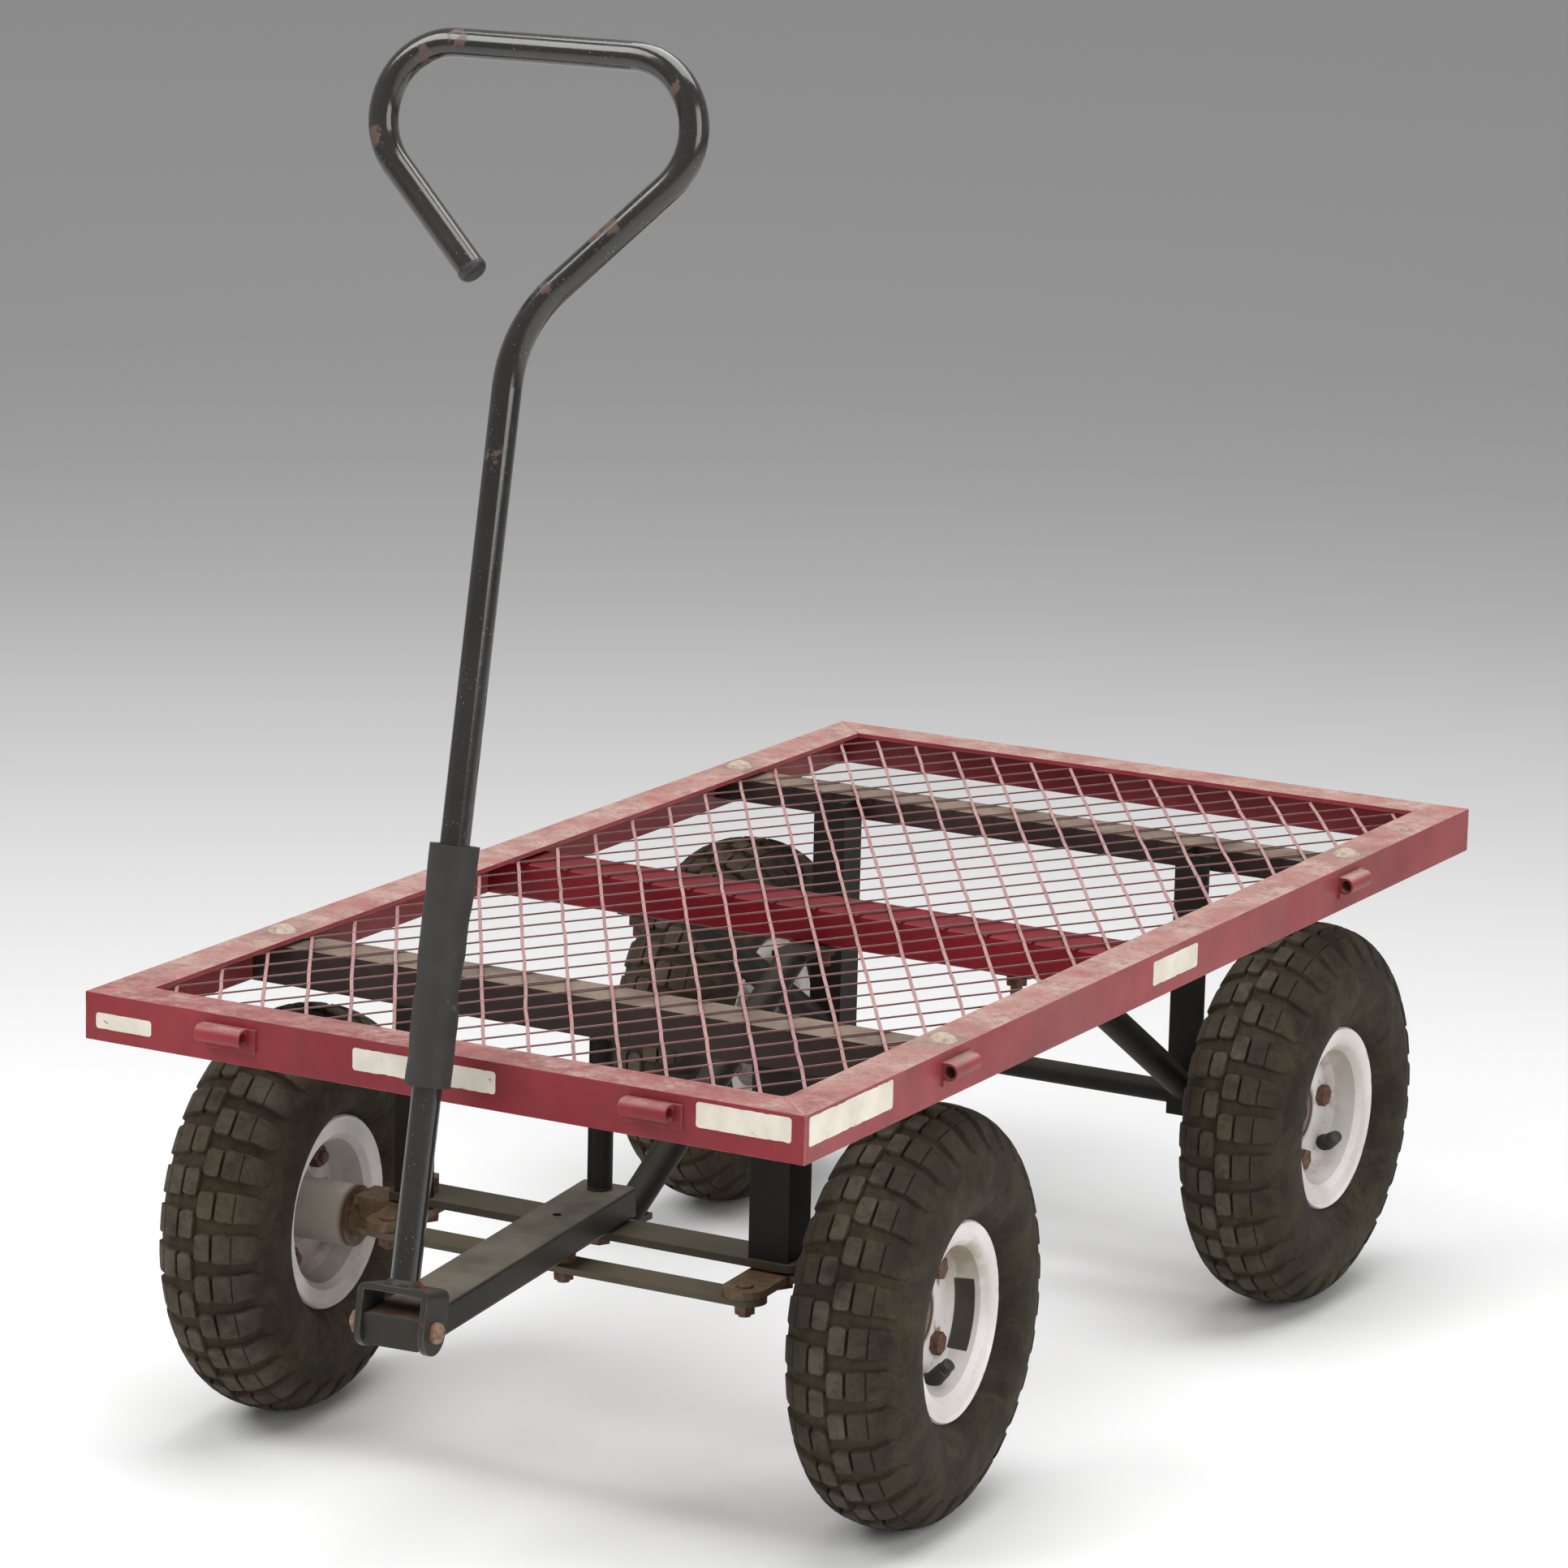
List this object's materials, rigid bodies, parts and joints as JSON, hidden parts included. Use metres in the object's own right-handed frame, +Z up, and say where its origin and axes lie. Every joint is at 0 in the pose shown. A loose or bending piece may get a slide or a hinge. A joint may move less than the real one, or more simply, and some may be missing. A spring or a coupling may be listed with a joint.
{
  "type": "hand wagon",
  "caption": "Hand wagon with a red angle-iron and mesh deck on pneumatic wheels, steered front axle and a fold-down loop handle.",
  "frame": {"origin": "on the ground, below the middle of the overall length and width", "axes": "+Z up, -Y towards the pull handle, +X to the right seen from the handle end"},
  "size_m": [0.5404, 1.0555, 0.9106],
  "materials": {
    "red_paint": "faded, dusty red paint",
    "mesh_paint": "faded red paint on expanded metal",
    "charcoal_paint": "worn black paint with dust",
    "handle_paint": "smooth black paint with rust at the bends",
    "plug": "black moulded plug",
    "foam": "matt dark grey foam",
    "steel": "zinc-plated steel, rusting",
    "rim_paint": "white paint with dirt and rust",
    "tyre": "dusty black rubber"
  },
  "bodies": {
    "deck": {"front_rail": "red_paint", "rear_rail": "red_paint", "left_rail": "red_paint", "right_rail": "red_paint", "deck_mesh": "mesh_paint", "middle_cross_tube": "red_paint", "latch_sockets": "red_paint", "front_cross_member": "charcoal_paint", "rear_cross_member": "charcoal_paint", "front_left_post": "charcoal_paint", "front_right_post": "charcoal_paint", "rear_left_post": "charcoal_paint", "rear_right_post": "charcoal_paint", "front_axle_bar": "charcoal_paint", "rear_axle": "charcoal_paint", "king_post": "charcoal_paint", "king_bolt": "steel", "kingpins": "steel", "front_brace": "charcoal_paint", "rear_left_brace": "charcoal_paint", "rear_right_brace": "charcoal_paint", "carriage_bolts": "steel", "brace_bolts": "steel", "rear_axle_pins": "steel"},
    "tongue": {"tongue": "charcoal_paint", "tie_pivot_bolt": "steel"},
    "tie_bar": {"tie_bar": "charcoal_paint"},
    "left_knuckle": {"left_knuckle": "charcoal_paint", "left_tie_bolt": "steel", "left_axle_pin": "steel"},
    "right_knuckle": {"right_knuckle": "charcoal_paint", "right_tie_bolt": "steel", "right_axle_pin": "steel"},
    "handle": {"handle_clevis": "charcoal_paint", "handle_tube": "handle_paint", "handle_end_plug": "plug", "foam_sleeve": "foam", "handle_pin": "steel"},
    "front_left_wheel": {"front_left_tyre": "tyre", "front_left_outer_rim": "rim_paint", "front_left_inner_rim": "rim_paint", "front_left_bearings": "steel", "front_left_rim_bolts": "steel"},
    "front_right_wheel": {"front_right_tyre": "tyre", "front_right_outer_rim": "rim_paint", "front_right_inner_rim": "rim_paint", "front_right_bearings": "steel", "front_right_rim_bolts": "steel"},
    "rear_left_wheel": {"rear_left_tyre": "tyre", "rear_left_outer_rim": "rim_paint", "rear_left_inner_rim": "rim_paint", "rear_left_bearings": "steel", "rear_left_rim_bolts": "steel"},
    "rear_right_wheel": {"rear_right_tyre": "tyre", "rear_right_outer_rim": "rim_paint", "rear_right_inner_rim": "rim_paint", "rear_right_bearings": "steel", "rear_right_rim_bolts": "steel"}
  },
  "joints": [
    {"name": "steer", "type": "hinge", "parent": "deck", "child": "tongue", "pos_m": [0, -0.25276, 0.169], "axis": [0, 0, 1], "range_deg": [-25, 17]},
    {"name": "tie_bar_pivot", "type": "hinge", "parent": "tongue", "child": "tie_bar", "pos_m": [0.00335, -0.30065, 0.1425], "axis": [0, 0, 1], "range_deg": [-17, 25]},
    {"name": "left_knuckle_turn", "type": "hinge", "parent": "deck", "child": "left_knuckle", "pos_m": [-0.13, -0.25276, 0.1475], "axis": [0, 0, 1], "range_deg": [-25, 17]},
    {"name": "right_knuckle_turn", "type": "hinge", "parent": "deck", "child": "right_knuckle", "pos_m": [0.13, -0.25276, 0.1475], "axis": [0, 0, 1], "range_deg": [-25, 17]},
    {"name": "handle_fold", "type": "hinge", "parent": "tongue", "child": "handle", "pos_m": [0.01814, -0.51213, 0.16], "axis": [0.9976, 0.0698, 0], "range_deg": [0, 110]},
    {"name": "front_left_spin", "type": "hinge", "parent": "left_knuckle", "child": "front_left_wheel", "pos_m": [-0.22327, -0.25929, 0.1325], "axis": [0.9976, 0.0698, 0], "continuous": true},
    {"name": "front_right_spin", "type": "hinge", "parent": "right_knuckle", "child": "front_right_wheel", "pos_m": [0.22327, -0.24624, 0.1325], "axis": [0.9976, 0.0698, 0], "continuous": true},
    {"name": "rear_left_spin", "type": "hinge", "parent": "deck", "child": "rear_left_wheel", "pos_m": [-0.2235, 0.30924, 0.1325], "axis": [1, 0, 0], "continuous": true},
    {"name": "rear_right_spin", "type": "hinge", "parent": "deck", "child": "rear_right_wheel", "pos_m": [0.2235, 0.30924, 0.1325], "axis": [1, 0, 0], "continuous": true}
  ],
  "couplings": [
    {"joint": "tie_bar_pivot", "follows": "steer", "ratio": -1},
    {"joint": "left_knuckle_turn", "follows": "steer", "ratio": 1},
    {"joint": "right_knuckle_turn", "follows": "steer", "ratio": 1}
  ]
}
